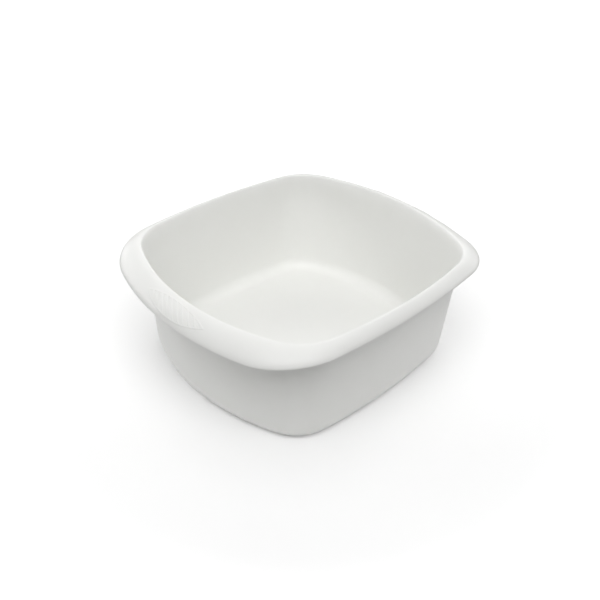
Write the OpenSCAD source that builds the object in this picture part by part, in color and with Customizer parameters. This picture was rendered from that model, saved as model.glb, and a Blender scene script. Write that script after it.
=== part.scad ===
// Washing up bowl, moulded in one piece: a bowed rectangle with large round corners,
// drafted walls, a rim that turns out and down all round, and a deep flange with a ribbed
// grip at each end. Millimetres, +Z up. The origin is under the middle of the base, on the
// surface that the bowl stands on. The grips are at the two ends of X.

/* [Mouth, the top line of the rim] */
// Height of the bowl
height = 145; // [110:1:190]
// Length of the mouth, from the top line at one grip to the top line at the other
mouth_l = 350; // [300:1:420]
// Width of the mouth
mouth_w = 319; // [270:1:360]
// Radius of the bow in the two ends of the mouth
mouth_end_r = 281; // [230:1:420]
// Radius of the bow in the two long sides of the mouth
mouth_side_r = 645; // [450:5:1200]
// Corner radius of the mouth
mouth_corner_r = 62; // [40:1:90]

/* [Base, the outer faces of the walls carried down to the ground] */
// How far each end wall leans in from the mouth to the ground
lean_end = 10; // [4:0.5:20]
// How far each long side leans in from the mouth to the ground
lean_side = 10.5; // [4:0.5:20]
// Radius of the bow in the two ends of the base
base_end_r = 266; // [210:1:400]
// Radius of the bow in the two long sides of the base
base_side_r = 770; // [450:5:1400]
// Corner radius of the base
base_corner_r = 58; // [42:1:80]
// Outer radius where the walls turn into the base
base_edge_r = 16; // [8:1:24]

/* [Rim, from its top line out to its edge] */
// How far each end flange stands out past the top line
reach_end = 24; // [18:0.5:32]
// How far the rim stands out past the top line at the two long sides
reach_side = 12; // [6:0.5:18]
// Radius of the bow in the outer edge at the two ends
rim_end_r = 352; // [290:1:480]
// Radius of the bow in the outer edge at the two long sides
rim_side_r = 1000; // [600:10:3000]
// Corner radius of the outer edge
rim_corner_r = 82; // [60:1:100]
// How far the outer edge hangs below the top line at the grips
drop_end = 20.5; // [12:0.5:30]
// How far the outer edge hangs below the top line at the corners
drop_corner = 15; // [8:0.5:20]
// How far the outer edge hangs below the top line at the long sides
drop_side = 12.5; // [8:0.5:20]
// Fullness of the rim's section: a quarter of an ellipse at 2, flatter in its middle below that
rim_fullness = 1.5; // [1.3:0.1:2]

/* [Wall] */
// Thickness of the walls, the rim and the floor
wall = 2; // [1.5:0.1:3]
// Height of the stretch in which the wall flares out to the rim
flare_h = 25; // [12:1:40]
// How far the flare carries the outside of the wall outwards
flare_w = 3; // [1:0.1:6]
// Width of the flat foot that the bowl stands on
foot_w = 4; // [3:0.5:14]
// How far the middle of the base is raised above the foot
panel_rise = 1.5; // [0.5:0.1:4]
// Width of the slope from the foot up to the raised middle
panel_slope = 2; // [1:0.5:8]

/* [Grip, one in the top of each flange] */
// Length of the lens-shaped grip
grip_l = 96; // [50:1:110]
// Width of the grip across the flange, at its middle
grip_w = 22; // [12:0.5:24]
// Angle round the flange, from its top line, at which the middle of the grip lies
grip_turn = 43; // [36:1:52]
// Distance between neighbouring ribs, along the flange
rib_pitch = 9; // [5:0.1:12]
// Height of the ribs above the flange
rib_h = 0.7; // [0.3:0.1:1.2]
// Width of a rib
rib_w = 2.8; // [1.4:0.1:4]
// Slant of the ribs, along the flange for each millimetre across it
rib_slant = 1; // [0.2:0.1:1.2]
// Width of the raised edge round the ribs
edge_w = 1.6; // [1:0.1:3]

/* [Hidden] */

// An outline is [half length, half width, end bow radius, side bow radius, corner radius].
mouth = [mouth_l / 2, mouth_w / 2, mouth_end_r, mouth_side_r, mouth_corner_r];
base = [mouth[0] - lean_end, mouth[1] - lean_side, base_end_r, base_side_r, base_corner_r];
rim = [mouth[0] + reach_end, mouth[1] + reach_side, rim_end_r, rim_side_r, rim_corner_r];
neck = inset(mouth, flare_w);
neck_z = height - flare_h;

// Facets on the end bow, the corner and the side bow in one quarter of an outline
end_steps = 6;
corner_steps = 10;
side_steps = 5;
quarter = end_steps + corner_steps + side_steps;
around = 4 * quarter;
// Facets in each curve of the wall's section
fillet_steps = 6;
flare_steps = 5;
rim_steps = 7;
// Straight pieces in one side of a grip's edge, and the longest straight piece of a rib
edge_steps = 12;
rib_piece = 6;

function inset(o, d) = [for (v = o) v - d];
function blend(a, b, t) = a + (b - a) * t;

// Centre of the corner arc that touches the end bow and the side bow from inside
function corner_centre(o) =
    let (
        end_c = [o[0] - o[2], 0],
        side_c = [0, o[1] - o[3]],
        span = norm(side_c - end_c),
        to_end = o[2] - o[4],
        to_side = o[3] - o[4],
        along = (to_end ^ 2 - to_side ^ 2 + span ^ 2) / (2 * span),
        off = sqrt(max(0, to_end ^ 2 - along ^ 2)),
        dir = (side_c - end_c) / span
    ) end_c + dir * along + [-dir[1], dir[0]] * off;

// Direction that outline o faces at step k of its first quarter, from 0 at the end to 90 at the side
function facing(o, k) =
    let (
        c = corner_centre(o),
        end_a = atan2(c[1], c[0] - o[0] + o[2]),
        side_a = atan2(c[1] - o[1] + o[3], c[0])
    ) k <= end_steps ? end_a * k / end_steps
    : k <= end_steps + corner_steps ? blend(end_a, side_a, (k - end_steps) / corner_steps)
    : blend(side_a, 90, (k - end_steps - corner_steps) / side_steps);

// Point at step k of the first quarter of outline o
function quarter_point(o, k) =
    let (
        a = facing(o, k),
        c = k <= end_steps ? [o[0] - o[2], 0]
            : k <= end_steps + corner_steps ? corner_centre(o) : [0, o[1] - o[3]],
        r = k <= end_steps ? o[2] : k <= end_steps + corner_steps ? o[4] : o[3]
    ) c + r * [cos(a), sin(a)];

// The step of the first quarter that step i of the whole outline mirrors
function mirrored(i) = floor(i / quarter) % 2 == 0 ? i % quarter : quarter - i % quarter;

function outline_point(o, i) =
    let (
        q = floor(i / quarter),
        p = quarter_point(o, mirrored(i))
    ) [q == 1 || q == 2 ? -p[0] : p[0], q >= 2 ? -p[1] : p[1]];

function ring(o, z) = [for (i = [0 : around - 1]) concat(outline_point(o, i), z)];

// Ring on the outer face of the wall at height z, moved inwards by d
function wall_ring(z, d) = ring(inset(blend(base, neck, z / neck_z), d), z);

// Ring in the flare, at turn a from upright to level. d and top belong to the face it lies on.
function flare_ring(a, d, top) = ring(inset(mouth, d * cos(a)), blend(neck_z, top, sin(a)));

// How far the rim's edge hangs down where it faces angle a
function drop(a) =
    let (
        e = cos(a) ^ 2
    ) drop_side * (1 - e) * (1 - 2 * e) + 4 * drop_corner * e * (1 - e) + drop_end * e * (2 * e - 1);

// Shares of the rim's reach and of its drop that lie inside turn a, from level to upright
function reached(a) = sin(a) ^ (2 / rim_fullness);
function dropped(a) = 1 - cos(a) ^ (2 / rim_fullness);

// Ring on the rim at turn a. t is the depth below the top face.
function rim_ring(a, t) = [
    for (i = [0 : around - 1])
        let (
            p = blend(outline_point(mouth, i), outline_point(inset(rim, t), i), reached(a)),
            hang = drop(facing(rim, mirrored(i)))
        ) concat(p, height - t - (hang - t) * dropped(a))
];

function turns(steps) = [for (k = [0 : steps]) 90 * k / steps];

// Rings of the moulding, from the middle of the floor out over the rim and back under the base
floor_r = base_edge_r - wall;
foot_in = base_edge_r + foot_w;
panel_in = foot_in + panel_slope;
rings = concat(
    [wall_ring(wall + panel_rise, panel_in), wall_ring(wall, foot_in)],
    [for (a = turns(fillet_steps)) wall_ring(wall + floor_r * (1 - cos(a)), wall + floor_r * (1 - sin(a)))],
    [for (a = turns(flare_steps)) flare_ring(a, flare_w + wall, height)],
    [for (k = [1 : rim_steps]) rim_ring(90 * k / rim_steps, 0)],
    [for (k = [0 : rim_steps - 1]) rim_ring(90 - 90 * k / rim_steps, wall)],
    [for (k = [0 : flare_steps]) flare_ring(90 - 90 * k / flare_steps, flare_w, height - wall)],
    [for (a = turns(fillet_steps)) wall_ring(base_edge_r * (1 - sin(a)), base_edge_r * (1 - cos(a)))],
    [wall_ring(0, foot_in), wall_ring(panel_rise, panel_in)]
);

// The whole moulding, without its grips, as one closed skin over the rings
module moulding() {
    count = len(rings);
    points = concat([for (r = rings) each r], [[0, 0, wall + panel_rise], [0, 0, panel_rise]]);
    strips = [
        for (j = [0 : count - 2], i = [0 : around - 1])
            let (
                n = (i + 1) % around,
                a = j * around + i,
                b = j * around + n
            ) each [[a, b + around, a + around], [a, b, b + around]]
    ];
    middle = count * around;
    caps = [
        for (i = [0 : around - 1])
            let (
                n = (i + 1) % around,
                last = (count - 1) * around
            ) each [[middle, n, i], [middle + 1, last + i, last + n]]
    ];
    polyhedron(points, concat(strips, caps));
}

// Point on the top face of the flange at the +X end, y along it and turn a round it
function flange_point(y, a) =
    let (
        inner = mouth[0] - mouth[2] + sqrt(mouth[2] ^ 2 - y ^ 2),
        outer = rim[0] - rim[2] + sqrt(rim[2] ^ 2 - y ^ 2),
        hang = drop(asin(y / rim[2]))
    ) [blend(inner, outer, reached(a)), y, height - hang * dropped(a)];

// Length of flange surface in one degree of turn, half way round it
degree = norm([reach_end, drop_end]) * (reached(45.5) - reached(44.5));

// Turn round the flange, v across it from the middle of the grip
function grip_angle(v) = grip_turn + v / degree;

// Point h above the flange, y along it and v across it from the middle of the grip
function grip_point(y, v, h) =
    let (
        a = grip_angle(v)
    ) flange_point(y, a) + h * [sin(a), 0, cos(a)];

// Half the grip's width at distance y from its middle
function grip_half(y) = grip_w / 2 * (1 - (2 * y / grip_l) ^ 2);

// How far the rib that crosses the grip's middle at y runs across it, up to the grip's edge
function rib_reach(y) =
    let (
        k = 2 * grip_w / grip_l ^ 2,
        lin = 1 + 2 * k * rib_slant * y
    ) 2 * grip_half(y) / (lin + sqrt(max(0, lin ^ 2 + 4 * k * rib_slant ^ 2 * grip_half(y))));

// Direction across a path on the flange at its point k, as [along the flange, across it]
function across(path, k) =
    let (
        d = path[min(k + 1, len(path) - 1)] - path[max(k - 1, 0)]
    ) [d[1], -d[0]] / norm(d);

// A raised line on the flange along a path of [y, v] points. Its section is [sideways, up] points.
module line_on_flange(path, section) {
    sides = len(section);
    last = (len(path) - 1) * sides;
    points = [
        for (k = [0 : len(path) - 1], s = section)
            let (p = path[k] + s[0] * across(path, k)) grip_point(p[0], p[1], s[1])
    ];
    skin = [
        for (k = [0 : sides : last - sides], j = [0 : sides - 1])
            let (
                a = k + j,
                b = k + (j + 1) % sides
            ) each [[a, b, b + sides], [a, b + sides, a + sides]]
    ];
    ends = [[for (j = [sides - 1 : -1 : 0]) j], [for (j = [0 : sides - 1]) last + j]];
    polyhedron(points, concat(skin, ends));
}

// One side of the raised edge of the grip, flat-topped, from tip to tip
module grip_edge(side) {
    foot = edge_w / 2;
    top = edge_w / 3;
    path = [
        for (k = [0 : edge_steps])
            let (y = grip_l * (k / edge_steps - 1 / 2)) [y, side * grip_half(y)]
    ];
    line_on_flange(path, [[-foot, -rib_h], [-top, rib_h], [top, rib_h], [foot, -rib_h]]);
}

// One round-topped rib, slanting across the flange through y on the grip's middle line
module rib(y) {
    foot = rib_w / 2;
    shoulder = rib_w / 3;
    low = -rib_reach(-y);
    high = rib_reach(y);
    steps = ceil((high - low) / rib_piece);
    path = [
        for (k = [0 : steps])
            let (v = blend(low, high, k / steps)) [y + rib_slant * v, v]
    ];
    round_top = [[-shoulder, rib_h * 3 / 4], [0, rib_h], [shoulder, rib_h * 3 / 4]];
    line_on_flange(path, concat([[-foot, -rib_h]], round_top, [[foot, -rib_h]]));
}

// The grip in the flange at the +X end
module grip() {
    for (side = [-1, 1])
        grip_edge(side);
    ribs = floor((grip_l / 2 - grip_w / 4) / rib_pitch);
    for (n = [-ribs : ribs])
        rib(n * rib_pitch);
}

module bowl() {
    color("#e6e7e2") {
        moulding();
        for (turn = [0, 180])
            rotate(turn) grip();
    }
}

bowl();
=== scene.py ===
import bpy
import numpy as np
from mathutils import Matrix, Vector


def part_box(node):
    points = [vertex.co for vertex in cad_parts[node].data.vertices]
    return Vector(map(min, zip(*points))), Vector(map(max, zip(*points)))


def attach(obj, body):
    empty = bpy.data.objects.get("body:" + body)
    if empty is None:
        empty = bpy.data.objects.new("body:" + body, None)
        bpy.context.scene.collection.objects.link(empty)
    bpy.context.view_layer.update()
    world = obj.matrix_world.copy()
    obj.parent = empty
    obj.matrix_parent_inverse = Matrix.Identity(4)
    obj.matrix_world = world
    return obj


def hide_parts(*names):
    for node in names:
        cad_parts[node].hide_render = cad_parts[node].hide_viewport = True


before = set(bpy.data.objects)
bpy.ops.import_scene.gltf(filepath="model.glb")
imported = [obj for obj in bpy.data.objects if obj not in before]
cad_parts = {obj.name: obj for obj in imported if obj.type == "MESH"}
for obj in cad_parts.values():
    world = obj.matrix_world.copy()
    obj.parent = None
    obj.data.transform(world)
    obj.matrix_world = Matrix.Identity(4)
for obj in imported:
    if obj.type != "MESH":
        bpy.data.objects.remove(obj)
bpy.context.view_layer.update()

# The moulding. The whole bowl is one injection moulding in opaque white polypropylene, about
# 2 mm thick everywhere. Its walls lean in to a base with a rounded edge and a flat foot, flare
# near the top, and turn out and down into a rim that swells into a deep flange at each end.

low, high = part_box("bowl")
wall = 0.002

# The rim reaches out past the mouth and its edge drops below it, both most at the ends. An outline
# is [half length, half width, end bow radius, side bow radius, corner radius].
reach_end, reach_side = 0.024, 0.012
drop_end, drop_corner, drop_side = 0.0205, 0.015, 0.0125
rim_fullness = 1.5
lean_end, lean_side = 0.010, 0.0105
flare_w, flare_h = 0.003, 0.025
mouth = np.array([high.x - reach_end, high.y - reach_side, 0.281, 0.645, 0.062])
rim = np.array([high.x, high.y, 0.352, 1.000, 0.082])
base = np.array([mouth[0] - lean_end, mouth[1] - lean_side, 0.266, 0.770, 0.058])
neck = mouth - flare_w
neck_z = high.z - flare_h

edge_r = wall / 2
base_edge_r = 0.016
foot_w, panel_slope, panel_rise = 0.004, 0.002, 0.0015
foot_in = base_edge_r + foot_w
panel_in = foot_in + panel_slope


def outline(shape, u):
    """Bowed rectangles, one row for each shape, at the places u round them.

    A quarter takes 3 units of u: one along the bow of the end, one round the corner and one
    along the bow of the side. The corner is an arc that touches both bows from inside, so its
    centre is where a circle of radius end bow minus corner, round the end bow's centre, meets
    one of radius side bow minus corner, round the side bow's centre. The other quarters are
    mirrored. Gives x, y and the angle that the outline faces in its own quarter.
    """
    half_l, half_w, end_r, side_r, corner_r = np.atleast_2d(shape).T[..., None]
    end_x, side_y = half_l - end_r, half_w - side_r
    span = np.hypot(end_x, side_y)
    to_end, to_side = end_r - corner_r, side_r - corner_r
    along = (to_end**2 - to_side**2 + span**2) / (2 * span)
    off = np.sqrt(to_end**2 - along**2)
    corner_x = end_x - (end_x * along + side_y * off) / span
    corner_y = (side_y * along - end_x * off) / span
    end_turn = np.arctan2(corner_y, corner_x - end_x)
    side_turn = np.arctan2(corner_y - side_y, corner_x)

    quarter = np.floor(u / 3)
    place = np.where(quarter % 2 == 0, u % 3, 3 - u % 3)
    turn = end_turn * np.clip(place, 0, 1) + (side_turn - end_turn) * np.clip(place - 1, 0, 1)
    turn = turn + (np.pi / 2 - side_turn) * np.clip(place - 2, 0, 1)
    bows = [place <= 1, place <= 2]
    radius = np.select(bows, [end_r, corner_r], side_r)
    x = np.select(bows, [end_x, corner_x], 0) + radius * np.cos(turn)
    y = np.select(bows, [0 * turn, corner_y + 0 * turn], side_y) + radius * np.sin(turn)
    return np.where((quarter == 1) | (quarter == 2), -x, x), np.where(quarter >= 2, -y, y), turn


def places():
    """Places round an outline: close together over the grips, wider round the corners and sides."""
    grip_end = 0.47
    quarter = np.concatenate([
        np.linspace(0, grip_end, 72, endpoint=False),
        np.linspace(grip_end, 1, 16, endpoint=False),
        np.linspace(1, 2, 30, endpoint=False),
        np.linspace(2, 3, 13),
    ])
    there, back = quarter[:-1], quarter[:0:-1]
    return np.concatenate([there, 6 - back, 6 + there, 12 - back])


around = places()


def rings(x, y, z):
    """Points of one ring after another, x, y and z spread over the same grid."""
    return np.stack(np.broadcast_arrays(x, y, z), -1)


def wall_rings(z, inset):
    """The wall's outer face moved in by inset: at height z the outline lies in a straight line
    between the base's, on the ground, and the neck's, and each of its numbers loses the inset."""
    z, inset = z[:, None], inset[:, None]
    x, y, _ = outline(base + (neck - base) * z / neck_z - inset, around)
    return rings(x, y, z)


def flare_rings(depth, top, steps):
    """A quarter of an ellipse that stands on the neck and ends level at the mouth's outline, depth
    wide and as high as top. Its steps are even in the angle that the face turns through."""
    face = np.linspace(0, np.pi / 2, steps)[:, None]
    turn = np.arctan2(np.sin(face) * (top - neck_z), np.cos(face) * depth)
    x, y, _ = outline(mouth - depth * np.cos(turn), around)
    return rings(x, y, neck_z + (top - neck_z) * np.sin(turn))


def hang(turn):
    """How far the rim's edge hangs where it faces turn: a curve of second degree in the squared
    cosine of that angle, through the drops at the side, the corner and the end."""
    c = np.cos(turn) ** 2
    near_end = 4 * drop_corner * (1 - c) + drop_end * (2 * c - 1)
    return drop_side * (1 - c) * (1 - 2 * c) + c * near_end


def reached(turn):
    """Share of the rim's reach inside a turn from level to upright. The section is a quarter of a
    superellipse, an ellipse at fullness 2 and flatter in its middle below that."""
    return np.abs(np.sin(turn)) ** (2 / rim_fullness)


def dropped(turn):
    """Share of the rim's drop inside the same turn."""
    return 1 - np.abs(np.cos(turn)) ** (2 / rim_fullness)


# The grips. A lens-shaped field of slanting ribs is moulded into the top of each flange, with a
# raised line round it, so that wet fingers don't slip. The ribs stand 0.7 mm proud.

grip_l, grip_w = 0.096, 0.022
grip_turn = np.radians(43)
rib_pitch, rib_slant = 0.009, 1
rib_h, rib_w, edge_w = 0.0007, 0.0028, 0.0016

# The flange's radius half way round, where its reach and its drop grow at the same rate.
half_way, little = np.radians(45), 0.01
growth = (reached(half_way + little) - reached(half_way - little)) / (2 * little)
flange_r = np.hypot(reach_end, drop_end) * growth


def ridge(distance, width):
    """1 on the middle line of a ridge and 0 past half its width, as a squared cosine between."""
    return np.cos(np.pi / 2 * np.clip(np.abs(distance) / (width / 2), 0, 1)) ** 2


def grip_height(x, y, turn):
    """Height of the grip above the flange, y along the flange and turn round it from its top line.

    v is the distance across the flange from the grip's middle. The lens is half a parabola wide
    on each side, ribs run along lines of equal y minus slant times v inside it, and its edge is
    one more ridge.
    """
    y = np.where(x > 0, y, -y)
    v = (turn - grip_turn) * flange_r
    inside = grip_w / 2 * (1 - (2 * y / grip_l) ** 2) - np.abs(v)
    crossing = y - rib_slant * v + rib_pitch / 2
    to_rib = (crossing % rib_pitch - rib_pitch / 2) / np.hypot(1, rib_slant)
    ribs = ridge(to_rib, rib_w) * np.clip(inside / edge_w, 0, 1)
    on_lens = np.abs(y) < grip_l / 2 + edge_w
    return rib_h * np.maximum(ribs, ridge(inside, edge_w)) * on_lens


# The rim and the closed skin. The rim turns out and down from the mouth at the wall's thickness
# and ends in a round lower edge. One grid of rings makes the whole moulding, from the floor up
# the inside, over the rim, down the outside and back under the base.


def rim_rings(turn, depth, grip):
    """The rim, depth below its top face: the same section at every place, from level on the mouth's
    outline to upright on the rim's, as high there as the edge hangs. With grip 1 the grips stand
    on it, raised the way the turn points, and with grip 0 they don't."""
    turn = turn[:, None]
    x0, y0, _ = outline(mouth, around)
    x1, y1, face = outline(rim - depth, around)
    x, y = x0 + (x1 - x0) * reached(turn), y0 + (y1 - y0) * reached(turn)
    z = high.z - depth - (hang(face) - edge_r - depth) * dropped(turn)
    rise = grip * grip_height(x, y, turn)
    x = x + rise * np.sin(turn) * np.cos(face) * np.sign(x)
    y = y + rise * np.sin(turn) * np.sin(face) * np.sign(y)
    return rings(x, y, z + rise * np.cos(turn))


def edge_rings(steps):
    """The rim's lower edge: half a round of half the wall's thickness, from outside to inside."""
    turn = np.linspace(0, np.pi, steps)[1:-1, None]
    x, y, face = outline(rim - edge_r * (1 - np.cos(turn)), around)
    return rings(x, y, high.z - hang(face) + edge_r - edge_r * np.sin(turn))


def fillet(radius, depth, steps):
    """Heights and insets of a quarter round from level to upright, depth inside the outer face."""
    turn = np.linspace(0, np.pi / 2, steps)
    return depth + radius * (1 - np.cos(turn)), depth + radius * (1 - np.sin(turn))


def bowl_skin():
    """The skin as one grid: from the floor's raised middle over the rim and back under the base."""
    share = np.linspace(0, 1, 7)
    step = share**2 * (3 - 2 * share)
    slope_in = panel_in - panel_slope * share
    up = np.linspace(base_edge_r, neck_z, 8)[1:-1]
    floor = wall_rings(wall + panel_rise * (1 - step), slope_in)
    inside = wall_rings(*fillet(base_edge_r - wall, wall, 14))
    # Turns in degrees, close together where the grips lie.
    over = np.concatenate([np.linspace(2, 14, 8), np.linspace(15.5, 71, 40), np.linspace(73, 90, 8)])
    under = np.radians(np.linspace(90, 0, 16))
    outside_z, outside_in = fillet(base_edge_r, 0, 14)
    return np.concatenate([
        floor,
        inside,
        wall_rings(up, np.full_like(up, wall)),
        flare_rings(flare_w + wall, high.z, 18),
        rim_rings(np.radians(over), 0, 1),
        edge_rings(9),
        rim_rings(under, wall, 0),
        flare_rings(flare_w, high.z - wall, 14)[::-1][1:],
        wall_rings(up[::-1], np.zeros_like(up)),
        wall_rings(outside_z[::-1], outside_in[::-1]),
        wall_rings(panel_rise * step, slope_in[::-1]),
    ])


def skin_mesh(name, grid, poles):
    """A closed mesh of a grid of rings, with a fan from each end ring to its pole."""
    count, n = grid.shape[:2]
    step, place = np.mgrid[0 : count - 1, 0:n]
    after = (place + 1) % n
    quads = np.stack([step * n + place, (step + 1) * n + place, (step + 1) * n + after, step * n + after], -1)
    first, second = np.arange(n), (np.arange(n) + 1) % n
    last = (count - 1) * n
    fans = np.concatenate([
        np.stack([np.full(n, count * n), first, second], -1),
        np.stack([np.full(n, count * n + 1), last + second, last + first], -1),
    ])
    points = np.vstack([grid.reshape(-1, 3), poles])
    faces = quads.reshape(-1, 4).tolist() + fans.tolist()
    mesh = bpy.data.meshes.new(name)
    mesh.from_pydata(points, [], faces)
    mesh.polygons.foreach_set("use_smooth", np.ones(len(mesh.polygons), bool))
    mesh.validate()
    return mesh


poles = [(0, 0, wall + panel_rise), (0, 0, panel_rise)]
bowl = bpy.data.objects.new("bowl_moulding", skin_mesh("bowl_moulding", bowl_skin(), poles))
bpy.context.scene.collection.objects.link(bowl)
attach(bowl, "root")
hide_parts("bowl")


def plug(tree, socket, value):
    """Set a socket, or link it where the value is another node's output."""
    if isinstance(value, bpy.types.NodeSocket):
        tree.links.new(value, socket)
    else:
        socket.default_value = value


def fill(tree, node, **inputs):
    """Plug a value into each named input of a node."""
    for name, value in inputs.items():
        plug(tree, node.inputs[name.replace("_", " ")], value)
    return node


def add(tree, kind, **inputs):
    """A new node with its named inputs filled."""
    return fill(tree, tree.nodes.new(kind), **inputs)


def blend(tree, share, first, second):
    """A colour that goes from first to second as share goes from 0 to 1."""
    node = add(tree, "ShaderNodeMix", Factor=share)
    node.data_type = "RGBA"
    plug(tree, node.inputs[6], first)
    plug(tree, node.inputs[7], second)
    return node.outputs[2]


def white_plastic():
    """Moulded polypropylene: a warm white that lets a little light in, with the faint peel and slow
    waves of a moulded face in its normal, and patches that shine a little less."""
    material = bpy.data.materials.new("white_plastic")
    material.use_nodes = True
    tree = material.node_tree
    shader = tree.nodes["Principled BSDF"]
    place = add(tree, "ShaderNodeTexCoord").outputs["Object"]
    waves = add(tree, "ShaderNodeTexNoise", Vector=place, Scale=18.0, Detail=1.0)
    peel = add(tree, "ShaderNodeTexNoise", Vector=place, Scale=900.0, Detail=2.0)
    patches = add(tree, "ShaderNodeTexNoise", Vector=place, Scale=45.0, Detail=3.0).outputs["Fac"]
    tint = blend(tree, patches, (0.879, 0.882, 0.856, 1), (0.890, 0.892, 0.871, 1))
    shine = add(tree, "ShaderNodeMapRange", Value=patches, To_Min=0.29, To_Max=0.36)
    slow = add(tree, "ShaderNodeBump", Distance=0.0004, Height=waves.outputs["Fac"])
    fine = add(tree, "ShaderNodeBump", Distance=0.00001, Height=peel.outputs["Fac"], Normal=slow.outputs[0])
    fill(tree, shader, Base_Color=tint, Roughness=shine.outputs[0], Normal=fine.outputs[0])
    fill(tree, shader, IOR=1.49, Specular_IOR_Level=0.3)
    fill(tree, shader, Subsurface_Weight=0.45, Subsurface_Radius=(1, 1, 1), Subsurface_Scale=0.0035)
    return material


bowl.data.materials.append(white_plastic())

# The floor. A seamless white studio floor, wide enough to fill the view from any side, that
# shows white to the camera and still takes the bowl's shadow.

floor_half = 12
floor_mesh = bpy.data.meshes.new("floor")
corners = [(x * floor_half, y * floor_half, low.z) for x, y in ((-1, -1), (1, -1), (1, 1), (-1, 1))]
floor_mesh.from_pydata(corners, [], [(0, 1, 2, 3)])
floor = bpy.data.objects.new("floor", floor_mesh)
bpy.context.scene.collection.objects.link(floor)


def studio_floor():
    """Matt white with a painted pool of light: to all rays but the camera's it throws most light
    back near the bowl and little past half a metre, as a floor lit from close by does.
    The camera and a gloss see a plain glow too, and away from the bowl it rises to full white
    for the camera."""
    material = bpy.data.materials.new("studio_floor")
    material.use_nodes = True
    tree = material.node_tree
    shader = tree.nodes["Principled BSDF"]
    rays = add(tree, "ShaderNodeLightPath")
    seen, mirrored = rays.outputs["Is Camera Ray"], rays.outputs["Is Glossy Ray"]
    reach = add(tree, "ShaderNodeVectorMath")
    reach.operation = "LENGTH"
    tree.links.new(add(tree, "ShaderNodeTexCoord").outputs["Object"], reach.inputs[0])
    from_bowl = reach.outputs["Value"]

    # A painted pool of light: the colour that bounced light sees is bright near the bowl and dark farther
    # off, standing in for lamps close to the floor.
    pool = add(tree, "ShaderNodeMapRange", Value=from_bowl, From_Min=0.25, From_Max=0.50)
    painted_light_pool = blend(tree, pool.outputs[0], (0.82, 0.82, 0.82, 1), (0.25, 0.25, 0.25, 1))
    paint = blend(tree, seen, painted_light_pool, (0.93, 0.93, 0.93, 1))

    near_glow = 0.12
    white = add(tree, "ShaderNodeMapRange", Value=from_bowl, From_Min=0.33, From_Max=0.80)
    fill(tree, white, To_Min=near_glow, To_Max=1)
    gloss = add(tree, "ShaderNodeMapRange", Value=mirrored, To_Max=near_glow)
    glow = add(tree, "ShaderNodeMix", Factor=seen, A=gloss.outputs[0], B=white.outputs[0])
    fill(tree, shader, Base_Color=paint, Roughness=1, Specular_IOR_Level=0)
    fill(tree, shader, Emission_Color=(1, 1, 1, 1), Emission_Strength=glow.outputs[0])
    return material


floor_mesh.materials.append(studio_floor())

# The light. Six soft white panels face the bowl: a high one and a faint low one on the picture's
# side, a long one behind, a low one at each side and one overhead. The room itself is nearly dark,
# and white where the camera looks into it.

view_turn = np.radians(-45.4)


def panel(name, turn, rise, radiance, width, height):
    """A square-cornered soft light 2.5 m from the bowl, turn round from the picture's side and
    rise above the floor. Its power in watts is its radiance times its area times pi."""
    distance = 2.5
    turn, rise = view_turn + np.radians(turn), np.radians(rise)
    level = np.cos(rise)
    back = Vector((np.sin(turn) * level, -np.cos(turn) * level, np.sin(rise)))
    light = bpy.data.lights.new(name, "AREA")
    light.shape = "RECTANGLE"
    light.size, light.size_y = width, height
    light.energy = radiance * width * height * np.pi
    lamp = bpy.data.objects.new(name, light)
    lamp.location = back * distance
    lamp.rotation_euler = back.to_track_quat("Z", "Y").to_euler()
    bpy.context.scene.collection.objects.link(lamp)


panel("front_panel", 0, 60, 3.65, 2.6, 1.2)
panel("low_panel", 0, 16, 0.2, 3.0, 1.0)
panel("top_panel", 0, 88, 1.2, 2.0, 2.0)
panel("back_panel", 180, 34, 1.7, 3.6, 1.4)
panel("left_panel", -115, 12, 2.4, 2.2, 1.2)
panel("right_panel", 115, 12, 1.6, 2.2, 1.2)

world = bpy.data.worlds.new("dark_room")
bpy.context.scene.world = world
world.use_nodes = True
room = world.node_tree
sight = add(room, "ShaderNodeLightPath")
strength = add(room, "ShaderNodeMapRange", Value=sight.outputs["Is Camera Ray"], To_Min=0.1, To_Max=1)
fill(room, room.nodes["Background"], Color=(1, 1, 1, 1), Strength=strength.outputs[0])

bpy.context.scene.view_settings.view_transform = "Standard"

# The camera. It looks down on the front corner, between the grip at -X and the long side at -Y,
# with a normal lens from about 0.85 m, and leans a little to one side.

view_rise, view_roll = np.radians([35.0, 2.4])
view_distance = 0.862
lens_pixels, frame_pixels = 689, 600
pixels_right, pixels_down = 0.7, -6.5

level = Vector((np.cos(view_turn), np.sin(view_turn), 0))
away = Vector((np.sin(view_turn), -np.cos(view_turn), 0))
back = away * np.cos(view_rise) + Vector((0, 0, np.sin(view_rise)))
upright = back.cross(level)
right = level * np.cos(view_roll) + upright * np.sin(view_roll)
up = upright * np.cos(view_roll) - level * np.sin(view_roll)
pixel = view_distance / lens_pixels
aim = Vector((0, 0, high.z / 2)) - right * pixels_right * pixel + up * pixels_down * pixel
place = aim + back * view_distance

camera = bpy.data.objects.new("camera", bpy.data.cameras.new("camera"))
camera.data.lens = camera.data.sensor_width * lens_pixels / frame_pixels
camera.matrix_world = Matrix.Translation(place) @ Matrix((right, up, back)).transposed().to_4x4()
bpy.context.scene.collection.objects.link(camera)
bpy.context.scene.camera = camera
